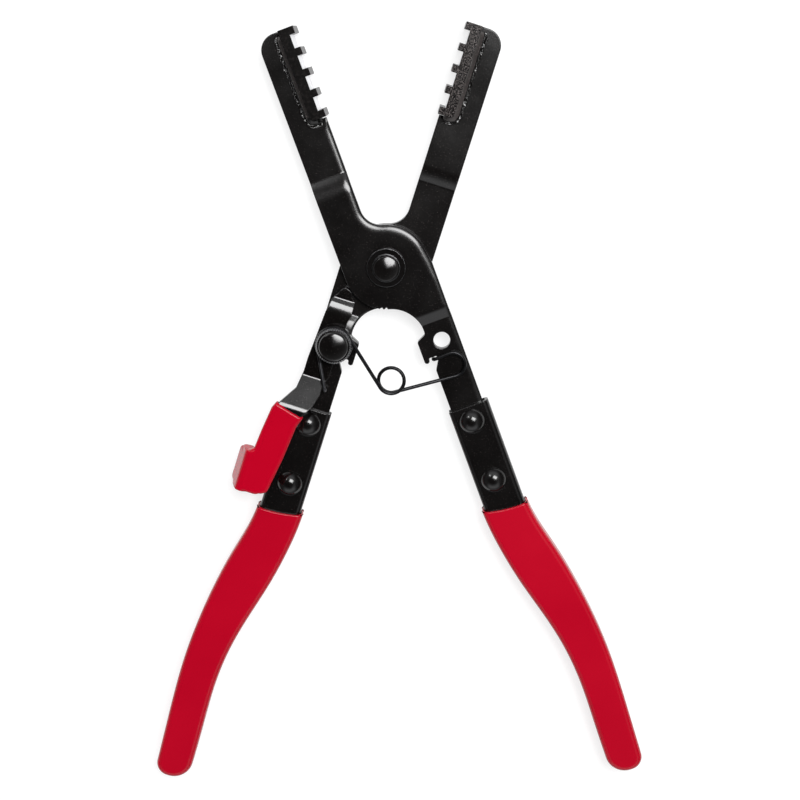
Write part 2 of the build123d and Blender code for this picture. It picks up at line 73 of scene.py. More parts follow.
# Places in an arm's own frame, as the CAD has them, in millimetres: the pivot at the origin and the jaw
# along +Y. HALF_OPEN is how many degrees an arm stands off the middle line.
HALF_OPEN = 18.83
HALF_PLATE = 1.75
FLOOR = 2.85
BLOCK_BACK = 6.5
BLOCK_FOOT = 56.9
BLOCK_CORNER = 1.4
POST_PLACE = (9.5, -31.6)
POST_BORE = 3.0

# Distances and angles under which points, planes and directions count as the same; PLACE_TOLERANCE is
# in millimetres
MERGE = 0.002 * MM
LATHE_MERGE = 0.001 * MM
CUT_MERGE = 0.0001 * MM
FLAT = math.radians(0.2)
STRAIGHT = 0.9999995
PLACE_TOLERANCE = 0.1

# A face whose normal has more than this along an axis faces that way, and a face with less than
# UPRIGHT of it along Z is a side; LEVEL is the slope of a run that counts as level
FACING = 0.5
UPRIGHT = 0.1
LEVEL = 0.02

# An outline's corners are moved in no further than this share of the mitre allows
MITRE_LEAST = 0.6

# Edges that turn more than this are rolled, and on stampings those that turn more than SHARP stay crisp
ROLLED = math.radians(28)
SHARP = math.radians(40)

# Stampings: the steps round a rolled edge, along a fold and along an outline, the least slope that makes a
# ramp, and each ramp's drawn-out fold: its length in millimetres and its share of the ramp's slope
ROLL_STEPS = 6
FOLD_STEP = 0.3 * MM
RUN_STEP = 2 * MM
FOLD_SLOPE = 0.35
FRONT_FOLDS = ((2, 1), (7.4, 1))
REAR_FOLDS = ((5.4, 0.67), (5, 1))
LEVER_FOLDS = ((2.5, 1), (4.6, 0.7))

# Where the arms' rolled edges change, in their own frame. Each pair is where a change starts and ends.
# The front arm's are wide near the hub and on the tang's outer side, thinner up the jaw, and fine at the
# teeth; the rear arm's are wider at its neck. The depth goes with the width.
HUB_LEFT = (-9, -5.5)
HUB_TOP = (52, 56)
HUB_LOW = (-16, -4)
TANG_SIDE = (13, 15)
TANG_SHARE = 0.6
JAW_RUN = (26, 40)
JAW_LOSS = 0.25
TEETH_SIDE = (4, 6)
TEETH_TOP = (-9, -7)
TEETH_MIDDLE = 12
TEETH_SPAN = (4, 8)
TEETH_LOSS = 0.6
NECK_MIDDLE = 23
NECK_SPAN = (3, 7)
NECK_SIDE = (6, 8)
NECK_SHARE = 0.4
DEPTH_SHARE = 0.8

# The lever: where the stamping ends inside the vinyl and where the vinyl's filling starts, below the pivot
LEVER_CUT = 66.8
VINYL_FILL = 62.0
VINYL_GRAIN = 0.28 * MM

# How far the thumb end's foot hangs lower than in the CAD, and how far the folded tab's inner low corner
# stands back to pass the handle, with the distances, heights and widths over which each comes in
VINYL_DRIP = 1.0
DRIP_RUN = (79, 90)
TAB_EASE = 0.7
EASE_RUN = (85, 91)
EASE_HEIGHT = (12, 13)
EASE_WIDTH = (26, 30)

# The thumb end's rounded corners in plan: the corner, the signs that point out of it, the radius
VINYL_CORNERS = (((18.7, -92.1), (-1, -1), 2.6), ((30.9, -92.3), (1, -1), 2.0),
                 ((30.9, -77.0), (1, 1), 2.2))

# Two places for the spring, the first on the rear arm and the second on the front arm; the wire is not bent
# between them
SPRING_START = (3.0, -38.0)
SPRING_END = (6.0, -37.0)
WIRE_ROLL = 0.1 * MM

# The wire's leg on the lever starts below the cut and beyond the side, and bends down to its end
LEG_CUT = -39.5
LEG_SIDE = 6.0
LEG_END = -47.2

# A weld bead: where it starts and ends, its step and how it fades at both ends, in millimetres
BEAD_TOP = 87.8
BEAD_END = 2.0
BEAD_STEP = 0.2
BEAD_FADE = 1.6
BEAD_LEAST = 0.05
BEAD_NARROW = 0.4

# The bead across its run: millimetres out from the block and up from the plate. The points up to
# BEAD_SLOPE are the smooth ridge and the rest are the toe; each has its ripple's strength and pace.
BEAD_PROFILE = ((-0.3, 2.3), (0.1, 2.35), (0.6, 2.15), (1.1, 1.88), (1.6, 1.6), (1.76, 1.3), (1.86, 0.7),
                (2.0, 0.3), (2.3, 0.35), (2.65, 0.5), (2.95, 0.6), (3.08, 0.3), (3.1, -0.3), (-0.3, -0.3))
BEAD_SLOPE = 4
RIDGE_RIPPLE = (0.3, 0.3)
TOE_RIPPLE = (1.6, 1.1)
RISE_RIPPLE = 1.3
ROW_PACE = 0.35
SIDE_SEED = 7
FACE_SEED = 5
OUT_SEED = Vector((3, 1, 9))

# Turned parts: the tail's radius, foot and height; the stem's points of radius and height; the head's
# numbers like the tail's
PIVOT_PROFILE = ((6.4, 3.55, 1.9), [(4.0, -3.55), (4.0, 4.95), (5.05, 4.95), (5.05, 5.45)],
                 (4.7, 5.45, 2.5))
POST_PROFILE = ((4.6, 1.75, 1.8),
                [(3.0, -1.75), (3.0, 4.45), (5.0, 4.45), (5.0, 8.95), (3.0, 8.95), (3.0, 10.05)],
                (5.3, 10.05, 2.6))

# A rivet's dome: the steps of its rim and crown, where its crown starts, as a share of the radius, how
# blunt the crown's tip is, the fall of its sides, straight and growing, and the spacing in millimetres
# of its turning marks
DOME_STEPS = 10
CROWN = 0.88
CROWN_TIP = 0.06
CROWN_SLOPES = (0.13, 0.075)
GROOVE = 0.45

# The washer: the share of its thickness below the chamfer, the chamfer's width, the depth of its
# serrations and the points round each one
WASHER_WALL = 0.45
WASHER_CHAMFER = 0.55
TOOTH_DEPTH = 0.28
TOOTH_STEPS = 8

# The finest rolled edges, as shares of the edge roll: turned parts, washers, serrations, sheet, lever
TURNED_ROLL = 0.35
RING_ROLL = 0.6
SERRATION_ROLL = 0.2
SHEET_ROLL = 0.8
LEVER_ROLL = (0.8, 0.7)

# Noise scales per metre, and the range that most of a noise stays in
PEEL_SCALE = 1300
CLOUD_SCALE = 70
FINE_SCALE = 3000
BROAD_SCALE = 450
STEEL_CLOUD_SCALE = 180
FLOW_SCALE = 25
VINYL_SCALE = 1500
NOISE_RANGE = (0.3, 0.7)

# Paint: how much lighter its clouds and its specks of dust are, and how far its roughness swings
CLOUD_RANGE = (0.35, 0.7)
CLOUD_GAIN = 1.5
DUST_RANGE = (0.68, 0.76)
DUST_GAIN = 40
PAINT_SWING = 0.03
PEEL_SHARE = 0.6

# A block's skin: where its painted glints and broad patches come in, and how much lighter they are
GLINT_SPECK_RANGE = (0.52, 0.62)
GLINT_SPECK_GAIN = 50
BROAD_RANGE = (0.42, 0.65)
BROAD_GAIN = 2
BROAD_SHARE = 0.15
SKIN_RANGE = (0.4, 0.6)
SKIN_ROUGH = 0.2
SKIN_SWING = 0.08

# Steel: its grain, relief in millimetres and the swing of its roughness below and above
STEEL_GRAIN = 0.15
STEEL_RELIEF = 0.01
STEEL_SWING = (-0.06, 0.08)

# Vinyl: its darkest and lightest share of the colour, its roughness, and its relief in millimetres
VINYL_TONES = (0.94, 1.05)
VINYL_ROUGH = (0.2, 0.26)
VINYL_RELIEF = 0.05
FINE_SHARE = 0.2

# The studio: dark straight above, pale lower down, and dark to the left and right
DARK_AXIS = (-0.14, -0.05, 0.989)
DARK_SIDES = (0.42, 0.72, 0, 0.85)
BAND = ((0.0, (0.2, 0.2, 0.21, 1)), (0.25, (0.35, 0.36, 0.37, 1)), (0.45, (0.97, 0.98, 1, 1)),
        (0.6, (0.95, 0.96, 0.98, 1)), (0.7, (0.75, 0.76, 0.77, 1)), (0.78, (0.3, 0.305, 0.31, 1)),
        (0.88, (0.04, 0.04, 0.041, 1)), (1.0, (0.008, 0.008, 0.009, 1)))

# The key is a wide lamp high at the upper right, with a faint wider one round it and a small one at the
# left. Each lamp has its place, width and height in metres and its power in watts.
LAMPS = (("key", (0.25, 0.43, 1.13), 0.6, 0.44, 14.0), ("halo", (0.32, 0.41, 1.18), 0.8, 0.54, 1.6),
         ("rim", (-0.55, 0.67, 0.83), 0.2, 0.2, 1.5))

# The floor: its half width, how far it lies under the part, and its tones. The object sees the plain
# paper, and the camera sees a white made of a faint paper and a glow, so that the shadow stays pale.
FLOOR_REACH = 3
FLOOR_DROP = 0.3 * MM
PAPER = (0.9, 0.9, 0.9, 1)
FAINT = (0.3, 0.3, 0.3, 1)
WHITE = (1, 1, 1, 1)
GLOW = 0.76

# The camera: its place from the pivot in millimetres and its turns in degrees
CAMERA_PLACE = (19.097, 80.741, 600.0)
CAMERA_TURNS = (-12.2094, 1.1864, -1.3214)
SENSOR = 36
CLIP_END = 10


class Link:
    """A socket of a shader tree; arithmetic on it adds Math nodes."""

    def __init__(self, tree, socket):
        self.tree = tree
        self.socket = socket

    def math(self, operation, *values):
        return self.tree.node("ShaderNodeMath", {"operation": operation}, dict(enumerate(values)))

    def __add__(self, other):
        return self.math("ADD", self, other)

    def __mul__(self, other):
        return self.math("MULTIPLY", self, other)


class Tree:
    """The shader tree of a material or of the world."""

    def __init__(self, owner, output="ShaderNodeOutputMaterial"):
        owner.use_nodes = True
        self.nodes = owner.node_tree.nodes
        self.links = owner.node_tree.links
        self.nodes.clear()
        self.output = self.nodes.new(output)

    def node(self, kind, settings=None, values=None, output=0):
        """Add a node: its settings first, then the values or links of its sockets."""
        made = self.nodes.new(kind)
        for name, value in (settings or {}).items():
            if name == "stops":
                ramp = made.color_ramp.elements
                while len(ramp) < len(value):
                    ramp.new(1)
                for element, (place, colour) in zip(ramp, value):
                    element.position = place
                    element.color = colour
            else:
                setattr(made, name, value)
        for name, value in (values or {}).items():
            if isinstance(value, Link):
                self.links.new(value.socket, made.inputs[name])
            else:
                made.inputs[name].default_value = value
        return Link(self, made.outputs[output])

    def place(self):
        return self.node("ShaderNodeTexCoord", output="Object")

    def noise(self, scale, detail=2, roughness=0.5):
        """Noise between 0 and 1; its scale is per metre."""
        sockets = {"Vector": self.place(), "Scale": scale, "Detail": detail, "Roughness": roughness}
        return self.node("ShaderNodeTexNoise", None, sockets)

    def spread(self, value, low, high, start, end):
        """Map a range of a value onto another range, clamped."""
        sockets = {"Value": value, "From Min": low, "From Max": high, "To Min": start, "To Max": end}
        return self.node("ShaderNodeMapRange", {"clamp": True}, sockets)

    def mix(self, share, first, second):
        """Blend of two colours."""
        return self.node("ShaderNodeMix", {"data_type": "RGBA"}, {0: share, 6: first, 7: second}, output=2)

    def bump(self, height, strength, distance):
        """Relief from a height, as deep as the distance in metres."""
        sockets = {"Height": height, "Strength": strength, "Distance": distance}
        return self.node("ShaderNodeBump", None, sockets)

    def vector_math(self, operation, first, second=(0, 0, 0), output=0):
        """Arithmetic on vectors."""
        return self.node("ShaderNodeVectorMath", {"operation": operation}, {0: first, 1: second}, output)

    def finish(self, shader):
        self.links.new(shader.socket, self.output.inputs["Surface"])


def rgba(colour):
    return (*colour, 1.0)


def black_paint(sizes, name, grain=0.35, rough=0.19, relief=0.008, lift=1.0, centre=None):
    """Stoved black paint: a slight orange peel, fine dust and a little unevenness in the gloss, over
    turning marks where a centre is given."""
    material = bpy.data.materials.new(name)
    tree = Tree(material)
    peel = tree.noise(PEEL_SCALE)
    cloud = tree.noise(CLOUD_SCALE, 3, 0.6)
    dust = tree.spread(tree.noise(FINE_SCALE, 1), *DUST_RANGE, 0, 1)
    base = Vector(sizes.paint_colour) * lift
    colour = tree.mix(tree.spread(cloud, *CLOUD_RANGE, 0, 1), rgba(base), rgba(base * CLOUD_GAIN))
    colour = tree.mix(dust * grain, colour, rgba(base * DUST_GAIN))
    roughness = tree.spread(cloud, *NOISE_RANGE, rough - PAINT_SWING, rough + PAINT_SWING)
    if centre:
        out = tree.vector_math("SUBTRACT", tree.place(), (centre.x, centre.y, 0))
        flat = tree.vector_math("MULTIPLY", out, (1, 1, 0))
        reach = tree.vector_math("LENGTH", flat, output="Value")
        wave = reach.math("SINE", reach * (2 * math.pi / (GROOVE * MM)))
        peel = peel * PEEL_SHARE + wave * (1 - PEEL_SHARE)
    normal = tree.bump(peel, 0.5, relief * MM)
    sockets = {"Base Color": colour, "Roughness": roughness, "Normal": normal, "Metallic": 0.0, "IOR": 1.5}
    tree.finish(tree.node("ShaderNodeBsdfPrincipled", None, sockets))
    return material


def cast_paint(sizes, name, scale, glint_share, relief, sheen=1.33):
    """The same paint over a toothed block's rough skin: pits, ridges and pale specks on it, which are
    painted glints.
    """
    material = bpy.data.materials.new(name)
    tree = Tree(material)
    skin = tree.noise(scale, 2, 0.6)
    broad = tree.noise(BROAD_SCALE, 3, 0.6)
    painted_glints = tree.spread(skin, *GLINT_SPECK_RANGE, 0, 1)
    base = Vector(sizes.paint_colour)
    colour = tree.mix(tree.spread(broad, *BROAD_RANGE, 0, 1), rgba(base), rgba(base * BROAD_GAIN))
    # Pale specks on the skin: painted glints
    colour = tree.mix(painted_glints * glint_share, colour, rgba(base * GLINT_SPECK_GAIN))
    swing = SKIN_SWING * glint_share
    roughness = tree.spread(skin, *SKIN_RANGE, SKIN_ROUGH - swing, SKIN_ROUGH + swing)
    normal = tree.bump(skin + broad * BROAD_SHARE, 0.5, relief * MM)
    sockets = {"Base Color": colour, "Roughness": roughness, "Normal": normal, "IOR": sheen}
    tree.finish(tree.node("ShaderNodeBsdfPrincipled", None, sockets))
    return material


def metal(name, colour, rough):
    """Plain steel with a fine uneven sheen."""
    material = bpy.data.materials.new(name)
    tree = Tree(material)
    fine = tree.noise(FINE_SCALE, 2, 0.6)
    cloud = tree.noise(STEEL_CLOUD_SCALE)
    dark, light = (rgba(Vector(colour) * (1 + grain)) for grain in (-STEEL_GRAIN, STEEL_GRAIN))
    tone = tree.mix(tree.spread(cloud, *NOISE_RANGE, 0, 1), dark, light)
    roughness = tree.spread(fine, *NOISE_RANGE, *(rough + swing for swing in STEEL_SWING))
    normal = tree.bump(fine, 0.4, STEEL_RELIEF * MM)
    sockets = {"Base Color": tone, "Roughness": roughness, "Normal": normal, "Metallic": 1.0}
    tree.finish(tree.node("ShaderNodeBsdfPrincipled", None, sockets))
    return material


def red_vinyl(sizes, name="red_vinyl", gain=1.0, shine=0.35):
    """Dipped vinyl: smooth, glossy, with a soft unevenness from the dip."""
    material = bpy.data.materials.new(name)
    tree = Tree(material)
    flow = tree.noise(FLOW_SCALE, 3)
    fine = tree.noise(VINYL_SCALE)
    dark, light = (rgba(Vector(sizes.vinyl_colour) * gain * tone) for tone in VINYL_TONES)
    colour = tree.mix(tree.spread(flow, *NOISE_RANGE, 0, 1), dark, light)
    roughness = tree.spread(flow, *NOISE_RANGE, *VINYL_ROUGH)
    normal = tree.bump(fine * FINE_SHARE + flow, 0.4, VINYL_RELIEF * MM)
    sockets = {"Base Color": colour, "Roughness": roughness, "Normal": normal, "Specular IOR Level": shine}
    tree.finish(tree.node("ShaderNodeBsdfPrincipled", None, sockets))
    return material


class PliersSizes(bpy.types.PropertyGroup):
    """Sizes and colours a user would change."""

    hub_roll: FloatProperty(name="Hub roll", description="Width of the soft roll beside the front hub",
                            default=3.2 * MM, unit="LENGTH")
    hub_drop: FloatProperty(name="Hub drop", description="Depth of the soft roll beside the front hub",
                            default=0.9 * MM, unit="LENGTH")
    edge_roll: FloatProperty(name="Edge roll", description="Roll of the other stamped edges",
                             default=0.35 * MM, unit="LENGTH")
    block_roll: FloatProperty(name="Block roll", description="Roll of the toothed blocks' edges",
                              default=0.12 * MM, unit="LENGTH")
    vinyl_roll: FloatProperty(name="Vinyl roll", description="Roll of the vinyl's mouths and creases",
                              default=0.45 * MM, unit="LENGTH")
    vinyl_melt: IntProperty(name="Vinyl melt", description="Rounds of smoothing of the dipped thumb end",
                            default=12)
    washer_teeth: IntProperty(name="Washer teeth", description="Serrations on the lever post's washer",
                              default=44)
    weld_ripple: FloatProperty(name="Weld ripple", description="Unevenness of the weld beads",
                               default=0.3 * MM, unit="LENGTH")
    paint_colour: FloatVectorProperty(name="Paint", description="Colour of the black paint",
                                      default=(0.0026, 0.0022, 0.0021), subtype="COLOR")
    vinyl_colour: FloatVectorProperty(name="Vinyl", description="Colour of the dipped vinyl",
                                      default=(0.418, 0.0005, 0.0135), subtype="COLOR")
    band: FloatProperty(name="Light band", description="Strength of the pale surroundings", default=1.15)
    focal: FloatProperty(name="Focal length", description="Of the camera on a 36 mm sensor", default=76.37)


def merged(name):
    """Mesh of a CAD node with its loose triangles joined and its flat faces made whole."""
    shape = bmesh.new()
    shape.from_mesh(frame["nodes"][name].data)
    bmesh.ops.remove_doubles(shape, verts=shape.verts, dist=MERGE)
    bmesh.ops.dissolve_limit(shape, angle_limit=FLAT, verts=shape.verts, edges=shape.edges)
    return shape


def cut(shape, place, way, **sides):
    """Cut a mesh with a plane; the sides say which part of it is cleared away."""
    everything = shape.verts[:] + shape.edges[:] + shape.faces[:]
    return bmesh.ops.bisect_plane(shape, geom=everything, dist=CUT_MERGE,
                                  plane_co=place, plane_no=way, **sides)


def piece(shape, name, materials, body, slot, *nodes, roll=None, segments=3, edge_highlight=-1):
    """Object that stands for CAD nodes and rides on a body; roll gives how far an edge is rolled, and the
    last argument gives the material of the rolled edges, which paints a highlight along them, or -1 for
    that of the faces beside them."""
    for face in shape.faces:
        face.smooth = True
    widest = 0
    if roll:
        layer = shape.edges.layers.float.new("bevel_weight_edge")
        widths = {edge: roll(edge) for edge in shape.edges if edge.calc_face_angle(0) > ROLLED}
        widest = max(widths.values())
        for edge, width in widths.items():
            edge[layer] = width / widest
    mesh = bpy.data.meshes.new(name)
    shape.to_mesh(mesh)
    shape.free()
    for material in materials:
        mesh.materials.append(material)
    made = bpy.data.objects.new(name, mesh)
    bpy.context.scene.collection.objects.link(made)
    if widest:
        bevel = made.modifiers.new("roll", "BEVEL")
        bevel.limit_method = "WEIGHT"
        bevel.width = widest
        bevel.segments = segments
        bevel.use_clamp_overlap = False
        bevel.material = edge_highlight
    made.modifiers.new("even", "WEIGHTED_NORMAL").keep_sharp = True
    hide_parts(*nodes)
    if body:
        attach(made, body)
    return made


def arm_place(side, across, along, height):
    """Row point of a place in an arm's own frame, seen from the front; side is 1 for the front arm."""
    turn = math.radians(HALF_OPEN)
    x = across * math.cos(turn) - along * math.sin(turn)
    y = across * math.sin(turn) + along * math.cos(turn)
    return pivot + Vector((side * x, y, height)) * MM


def arm_axis(side):
    """Direction along an arm, toward its jaw."""
    turn = math.radians(HALF_OPEN)
    return Vector((-side * math.sin(turn), math.cos(turn), 0))


def own_place(side, point):
    """Across and along in an arm's own frame of a point, in millimetres; the reverse of arm_place."""
    turn = math.radians(HALF_OPEN)
    x, y = side * (point.x - pivot.x) / MM, (point.y - pivot.y) / MM
    return x * math.cos(turn) + y * math.sin(turn), y * math.cos(turn) - x * math.sin(turn)


def smooth_step(value, low, high):
    share = min(1, max(0, (value - low) / (high - low)))
    return share * share * (3 - 2 * share)


def heights(shape, up, way):
    """Height of a folded plate's top or bottom by the distance along it, as the CAD has it."""
    found = {}
    for face in shape.faces:
        if face.normal.z * up > FACING:
            for vert in face.verts:
                found[round(vert.co.dot(way) / MM, 2)] = vert.co.z
    return bends([(along * MM, height) for along, height in sorted(found.items())])


def bends(rows):
    """Rows of heights without those on straight runs."""
    kept = rows[:1]
    for here, after in zip(rows[1:], rows[2:]):
        low, high = kept[-1], after
        straight = low[1] + (high[1] - low[1]) * (here[0] - low[0]) / (high[0] - low[0])
        if abs(here[1] - straight) > MERGE:
            kept.append(here)
    return kept + rows[-1:]


def height_at(rows, along):
    """Height between the rows of heights."""
    for low, high in zip(rows, rows[1:]):
        if along < high[0]:
            return low[1] + (high[1] - low[1]) * (along - low[0]) / (high[0] - low[0])
    return rows[-1][1]


def drawn_out(rows, up, folds):
    """Heights with the outside of each fold drawn out into a curve, while the inside stays crisp. Each fold
    has the curve's length and the share of the ramp's slope that it starts with."""
    curves = []
    for index in range(1, len(rows) - 2):
        (start, low), (end, high) = rows[index:index + 2]
        slope = (high - low) / (end - start)
        if abs(slope) > FOLD_SLOPE and end - start > MM:
            ends = [level(rows[index::-1]), level(rows[index + 1:])]
            rise = abs(ends[0] - ends[1])
            foot = min(ends, key=lambda height: up * height)
            crease = start + (foot - low) / slope
            if curves and abs(crease - curves[-1][0]) < MM:
                continue
            length, share = folds[len(curves)]
            curves.append((crease, up * slope / abs(slope), abs(slope), rise, foot, length * MM, share))
    made = [rows[0]]
    steps = int((rows[-1][0] - rows[0][0]) / FOLD_STEP)
    for count in range(1, steps):
        along = rows[0][0] + (rows[-1][0] - rows[0][0]) * count / steps
        height = height_at(rows, along)
        for crease, way, slope, rise, foot, length, share in curves:
            ramp = rise / slope - share * length / 2
            past = (along - crease) * way - ramp
            if 0 < past < length:
                lift = slope * (ramp + share * (past - past * past / (2 * length)))
                height = up * min(up * height, up * foot + lift)
        made.append((along, height))
    return bends(made + rows[-1:])


def level(rows):
    """Height of the first level run in the rows."""
    return next(first[1] for first, second in zip(rows, rows[1:])
                if abs(second[1] - first[1]) < LEVEL * abs(second[0] - first[0]))


def outlines(shape):
    """Closed outlines of a plate's top, its metal on their left, without the points on straight runs."""
    after = {}
    for face in shape.faces:
        if face.normal.z > FACING:
            for loop in face.loops:
                others = [other for other in loop.edge.link_faces if other != face]
                if not [other for other in others if other.normal.z > FACING]:
                    after[loop.vert] = loop.link_loop_next.vert
    rings = []
    while after:
        ring, vert = [], next(iter(after))
        while vert in after:
            ring.append(Vector((vert.co.x, vert.co.y, 0)))
            vert = after.pop(vert)
        turns = [(here - before).normalized().dot((ahead - here).normalized())
                 for before, here, ahead in zip(ring[-1:] + ring, ring, ring[1:] + ring[:1])]
        rings.append([point for point, turn in zip(ring, turns) if turn < STRAIGHT])
    return rings


def inset(ring, widths):
    """An outline moved toward its metal by a width at each point."""
    moved = []
    for index, here in enumerate(ring):
        first = (here - ring[index - 1]).normalized()
        second = (ring[(index + 1) % len(ring)] - here).normalized()
        left = Vector((-first.y - second.y, first.x + second.x, 0))
        moved.append(here + left * widths[index] / max(MITRE_LEAST, 1 + first.dot(second)))
    return moved


def divided(ring):
    """An outline with points added on its long runs."""
    made = []
    for here, after in zip(ring, ring[1:] + ring[:1]):
        count = max(1, round((after - here).length / RUN_STEP))
        made += [here.lerp(after, step / count) for step in range(count)]
    return made


def stamped(shape, side, folds, rim):
    """A folded plate made anew on its CAD outline and heights; rim(across, along) gives how wide and how
    deep its edge is rolled there."""
    way = arm_axis(side)
    tops, feet = (drawn_out(heights(shape, up, way), up, folds) for up in (1, -1))
    sheet = bmesh.new()
    inner = []
    for ring in map(divided, outlines(shape)):
        rolls = [rim(*own_place(side, point)) for point in ring]
        rows = []
        for step in range(ROLL_STEPS + 1):
            turn = math.pi / 2 * step / ROLL_STEPS
            points = inset(ring, [wide * (1 - math.cos(turn)) for wide, deep in rolls])
            rows.append([sheet.verts.new((point.x, point.y, -deep * (1 - math.sin(turn))))
                         for point, (wide, deep) in zip(points, rolls)])
        for first, second in zip(rows, rows[1:]):
            for index in range(len(ring)):
                sheet.faces.new((first[index - 1], first[index], second[index], second[index - 1]))
        inner += [sheet.edges.get((rows[-1][index - 1], rows[-1][index])) for index in range(len(ring))]
    bmesh.ops.triangle_fill(sheet, edges=inner, use_beauty=True, normal=(0, 0, 1))
    for along, height in tops + feet:
        cut(sheet, way * along, way)
    sheet.verts.index_update()
    made = bmesh.new()
    upper, lower = [], []
    for rows, up, side_verts in ((tops, 1, upper), (feet, -1, lower)):
        for vert in sheet.verts:
            height = height_at(rows, vert.co.dot(way)) + up * vert.co.z
            side_verts.append(made.verts.new((*vert.co.xy, height)))
    for face in sheet.faces:
        made.faces.new([upper[vert.index] for vert in face.verts])
        made.faces.new([lower[vert.index] for vert in reversed(face.verts)])
    for edge in sheet.edges:
        if len(edge.link_faces) == 1:
            first, second = (vert.index for vert in edge.verts)
            made.faces.new((upper[first], upper[second], lower[second], lower[first]))
    sheet.free()
    shape.free()
    bmesh.ops.remove_doubles(made, verts=made.verts, dist=MERGE)
    bmesh.ops.recalc_face_normals(made, faces=made.faces)
    for edge in made.edges:
        edge.smooth = edge.calc_face_angle(0) < SHARP
    return made


def lever_part(down, keep):
    """The CAD lever's part above a cut this far down, or below it when keep is 1, closed at the cut."""
    shape = merged("ratchet_lever")
    way = arm_axis(-1)
    found = cut(shape, pivot - way * down * MM, way * keep, clear_outer=True)
    rim = [item for item in found["geom_cut"] if isinstance(item, bmesh.types.BMEdge)]
    bmesh.ops.triangle_fill(shape, edges=rim, use_beauty=True)
    return shape


def spring_part(leg):
    """The wire's leg on the lever, or the rest of the wire, closed at the cut."""
    shape = merged("opening_spring")
    way = arm_axis(-1)
    cut(shape, pivot + way * LEG_CUT * MM, way)
    other = []
    for face in shape.faces:
        across, along = own_place(-1, face.calc_center_median())
        if (along < LEG_CUT and across > LEG_SIDE) != leg:
            other.append(face)
    bmesh.ops.delete(shape, geom=other, context="FACES")
    rim = [edge for edge in shape.edges if edge.is_boundary]
    bmesh.ops.triangle_fill(shape, edges=rim, use_beauty=True)
    bmesh.ops.recalc_face_normals(shape, faces=shape.faces[:])
    for edge in rim:
        edge.smooth = False
    return shape


def one_skin(shape):
    """The outer skin of solids that touch, on an even grid."""
    mesh = bpy.data.meshes.new("skin")
    shape.to_mesh(mesh)
    shape.free()
    holder = bpy.data.objects.new("skin", mesh)
    bpy.context.scene.collection.objects.link(holder)
    grid = holder.modifiers.new("grid", "REMESH")
    grid.mode = "VOXEL"
    grid.voxel_size = VINYL_GRAIN
    skin = bmesh.new()
    skin.from_object(holder, bpy.context.evaluated_depsgraph_get())
    bpy.data.objects.remove(holder)
    bpy.data.meshes.remove(mesh)
    return skin


def round_corner(shape, side, corner, ways, radius):
    """Draw a square corner of the plan in to a round one; the ways are the signs that point out of it."""
    centre = [place - way * radius for place, way in zip(corner, ways)]
    for vert in shape.verts:
        out = [(place - start) * way for place, start, way in zip(own_place(side, vert.co), centre, ways)]
        if min(out) > 0:
            share = max(out) / math.hypot(*out)
            place = [start + way * reach * share for start, way, reach in zip(centre, ways, out)]
            vert.co.xy = arm_place(side, *place, 0).xy


def tube(rings, closed_ends=True):
    """Mesh through rings of as many points each."""
    shape = bmesh.new()
    rows = [[shape.verts.new(point) for point in ring] for ring in rings]
    for first, second in zip(rows, rows[1:]):
        for index in range(len(first)):
            after = (index + 1) % len(first)
            shape.faces.new((first[index], first[after], second[after], second[index]))
    if closed_ends:
        shape.faces.new(rows[0])
        shape.faces.new(rows[-1])
    bmesh.ops.recalc_face_normals(shape, faces=shape.faces)
    return shape


def lathe(profile, centre, turns=96, teeth=0, tooth_rows=()):
    """Solid of revolution about Z through (radius, height) points in millimetres; rows may be toothed."""
    rings = []
    for count in range(turns):
        angle = 2 * math.pi * count / turns
        ring = []
        for row, (radius, height) in enumerate(profile):
            if row in tooth_rows:
                radius -= TOOTH_DEPTH * (0.5 - 0.5 * math.cos(angle * teeth))
            ring.append(centre + Vector((radius * math.cos(angle), radius * math.sin(angle), height)) * MM)
        rings.append(ring)
    shape = tube(rings + rings[:1], closed_ends=False)
    bmesh.ops.remove_doubles(shape, verts=shape.verts, dist=LATHE_MERGE)
    bmesh.ops.recalc_face_normals(shape, faces=shape.faces)
    return shape


def dome(radius, low, height):
    """Points of a rivet head from its foot to its middle: an upright rolled rim, then a crown like a low
    cone."""
    def fall(share):
        out = math.hypot(share, CROWN_TIP) - CROWN_TIP
        return radius * (CROWN_SLOPES[0] * out + CROWN_SLOPES[1] * out * out)

    wall = height - fall(1)
    turns = [math.pi / 2 * step / DOME_STEPS for step in range(DOME_STEPS)]
    rim = [(CROWN + (1 - CROWN) * math.cos(turn), wall * (1 - math.sin(turn))) for turn in turns]
    crown = [(CROWN * (1 - step / DOME_STEPS), 0) for step in range(DOME_STEPS + 1)]
    return [(radius * share, low + height - fall(share) - drop) for share, drop in rim + crown]


